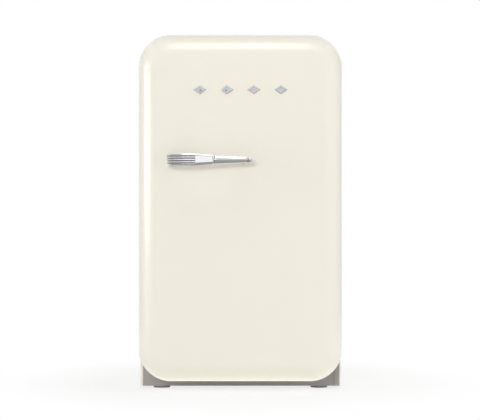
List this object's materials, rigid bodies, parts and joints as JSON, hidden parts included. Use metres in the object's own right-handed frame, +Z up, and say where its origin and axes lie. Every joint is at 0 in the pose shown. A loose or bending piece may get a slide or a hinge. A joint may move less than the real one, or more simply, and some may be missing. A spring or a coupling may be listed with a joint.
{
  "type": "mini fridge",
  "caption": "Retro mini fridge with a rounded cream door, chrome bar handle, concealed hinges, glass shelves, door balconies and a silent absorption cooling unit behind.",
  "frame": {"origin": "on the floor under the middle of the overall box", "axes": "+Z up, the door faces -Y, +X to the right of someone facing the door, on the hinge side"},
  "size_m": [0.404, 0.5, 0.708],
  "materials": {
    "cream_enamel": "gloss",
    "grey_enamel": "satin",
    "grey_plastic": "satin",
    "pale_plastic": "satin",
    "white_plastic": "gloss",
    "clear_plastic": "clear",
    "shelf_glass": "clear",
    "foam": "matt",
    "mineral_wool": "matt",
    "black_steel": "satin",
    "zinc_steel": "brushed",
    "chrome": "mirror",
    "aluminium": "satin",
    "copper": "satin",
    "grey_rubber": "matt",
    "black_plastic": "matt",
    "magnet": "matt",
    "circuit_board": "satin",
    "lamp_diffuser": "frosted",
    "nylon": "satin",
    "brass_pins": "bright"
  },
  "bodies": {
    "cabinet": {"absorber_coil": "black_steel", "absorber_vessel": "black_steel", "base_pan": "black_steel", "boiler_casing": "zinc_steel", "boiler_tube": "black_steel", "boiler_wool": "mineral_wool", "cabinet_insulation": "foam", "cabinet_wrapper": "cream_enamel", "condenser_fins": "aluminium", "condenser_tube": "black_steel", "control_housing": "white_plastic", "drain_pan": "black_plastic", "drain_tube": "grey_rubber", "drip_tray": "white_plastic", "evaporator_block": "aluminium", "evaporator_fins": "aluminium", "evaporator_tubes": "black_steel", "front_frame": "grey_enamel", "heater_cartridge": "zinc_steel", "hinge_brackets": "zinc_steel", "hinge_pins": "zinc_steel", "hinge_screws": "zinc_steel", "hinge_side_cap": "grey_enamel", "inlet_pins": "brass_pins", "inner_liner": "white_plastic", "lamp_board": "circuit_board", "lamp_lens": "lamp_diffuser", "power_inlet": "black_plastic", "rear_crossbars": "black_steel", "rear_feet": "pale_plastic", "rear_panel": "zinc_steel", "shelf_glasses": "shelf_glass", "shelf_trims": "white_plastic", "terminal_box": "black_plastic", "thermostat_capillary": "copper", "thermostat_case": "zinc_steel", "unit_strap": "zinc_steel", "wall_spacers": "black_plastic"},
    "door": {"door_skin": "cream_enamel", "door_insulation": "foam", "door_liner": "white_plastic", "door_gasket": "grey_rubber", "gasket_magnets": "magnet", "hinge_blocks": "nylon", "handle_grip": "chrome", "handle_tail": "chrome", "handle_post": "chrome", "handle_bolts": "zinc_steel", "front_lozenges": "chrome"},
    "upper_balcony": {"upper_balcony": "clear_plastic", "upper_balcony_guard": "chrome"},
    "bottle_balcony": {"bottle_balcony": "clear_plastic", "bottle_balcony_guard": "chrome"},
    "bottle_holder": {"bottle_holder": "grey_plastic"},
    "thermostat": {"thermostat_knob": "grey_plastic"},
    "door_switch": {"door_switch_plunger": "white_plastic"},
    "front_left_foot": {"front_left_foot_pad": "pale_plastic", "front_left_foot_stud": "zinc_steel"},
    "front_right_foot": {"front_right_foot_pad": "pale_plastic", "front_right_foot_stud": "zinc_steel"}
  },
  "joints": [
    {"name": "door_swing", "type": "hinge", "parent": "cabinet", "child": "door", "pos_m": [0.184, -0.152, 0.3645], "axis": [0, 0, 1], "range_deg": [0, 105]},
    {"name": "upper_balcony_lift", "type": "slide", "parent": "door", "child": "upper_balcony", "axis": [0, 0, 1], "range_m": [0, 0.02]},
    {"name": "bottle_balcony_lift", "type": "slide", "parent": "door", "child": "bottle_balcony", "axis": [0, 0, 1], "range_m": [0, 0.02]},
    {"name": "bottle_holder_slide", "type": "slide", "parent": "bottle_balcony", "child": "bottle_holder", "axis": [1, 0, 0], "range_m": [-0.08, 0.08]},
    {"name": "thermostat_turn", "type": "hinge", "parent": "cabinet", "child": "thermostat", "pos_m": [-0.042, -0.11, 0.646], "axis": [0, -1, 0], "range_deg": [0, 270]},
    {"name": "door_switch_travel", "type": "slide", "parent": "cabinet", "child": "door_switch", "axis": [0, -1, 0], "range_m": [0, 0.005]},
    {"name": "front_left_foot_screw", "type": "slide", "parent": "cabinet", "child": "front_left_foot", "axis": [0, 0, -1], "range_m": [0, 0.012]},
    {"name": "front_right_foot_screw", "type": "slide", "parent": "cabinet", "child": "front_right_foot", "axis": [0, 0, -1], "range_m": [0, 0.012]}
  ],
  "couplings": [
    {"joint": "door_switch_travel", "follows": "door_swing", "m_per_rad": 0.0027}
  ]
}
